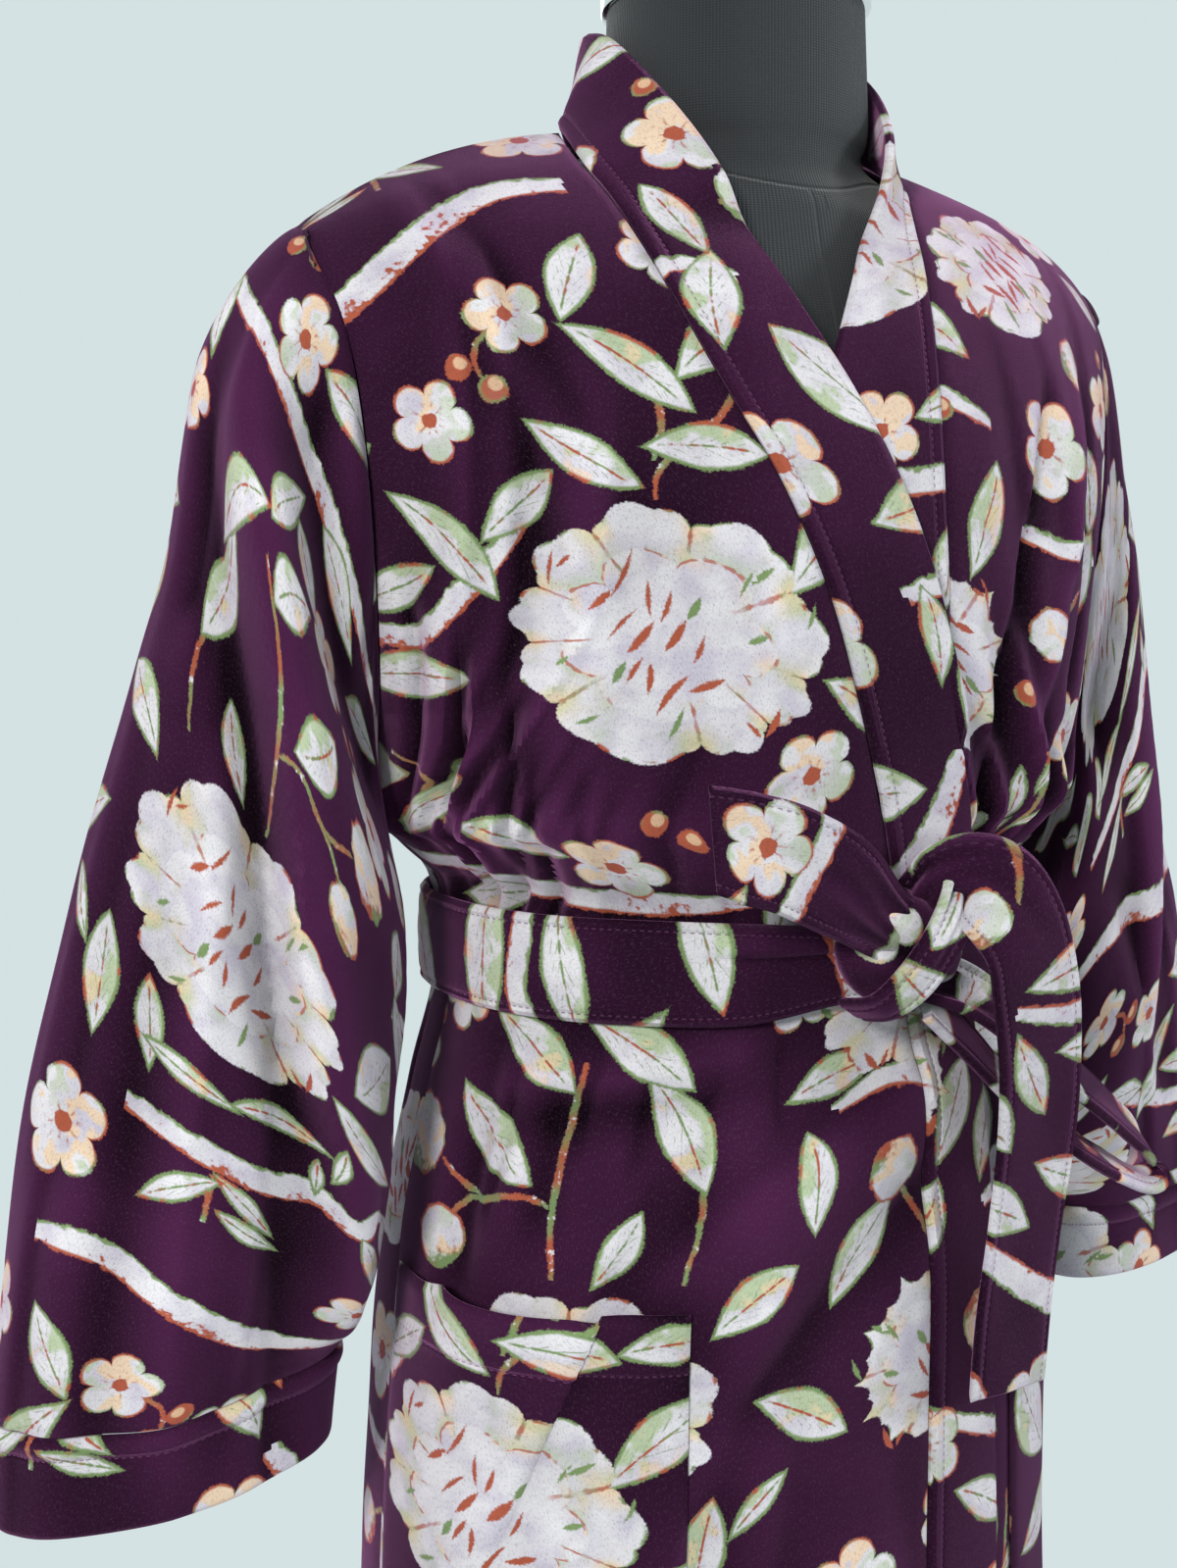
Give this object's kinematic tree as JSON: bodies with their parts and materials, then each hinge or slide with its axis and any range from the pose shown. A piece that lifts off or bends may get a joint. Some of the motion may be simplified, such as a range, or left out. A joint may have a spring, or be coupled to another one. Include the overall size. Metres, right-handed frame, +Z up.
{
  "type": "kimono robe on dress form",
  "caption": "Wrap robe with wide sleeves, a band round neck and fronts, patch pockets and a knotted belt, on a limbless dress form and stand.",
  "frame": {"origin": "centre of the stand base's underside, where it rests on the floor", "axes": "+Z up, -Y towards the front of the robe, +X towards the wearer's left"},
  "size_m": [0.668, 0.38, 1.4893],
  "materials": {
    "velvet": "printed cotton velvet, deep plum ground with pale flowers and green leaves, short pile with a soft sheen",
    "form_fabric": "black fine ribbed knit stretched over the form",
    "bright_metal": "polished plating",
    "dark_paint": "satin black paint"
  },
  "bodies": {
    "root": {"back": "velvet", "front_right": "velvet", "front_left": "velvet", "band_right": "velvet", "band_left": "velvet", "sleeve_right": "velvet", "sleeve_left": "velvet", "cuff_right": "velvet", "cuff_left": "velvet", "pocket_right": "velvet", "pocket_left": "velvet", "belt_wrap": "velvet", "belt_knot": "velvet", "belt_tail_short": "velvet", "belt_tail_long": "velvet", "belt_loop": "velvet", "form_torso": "form_fabric", "form_cap": "bright_metal", "stand_pole": "bright_metal", "stand_base": "dark_paint"}
  },
  "joints": []
}
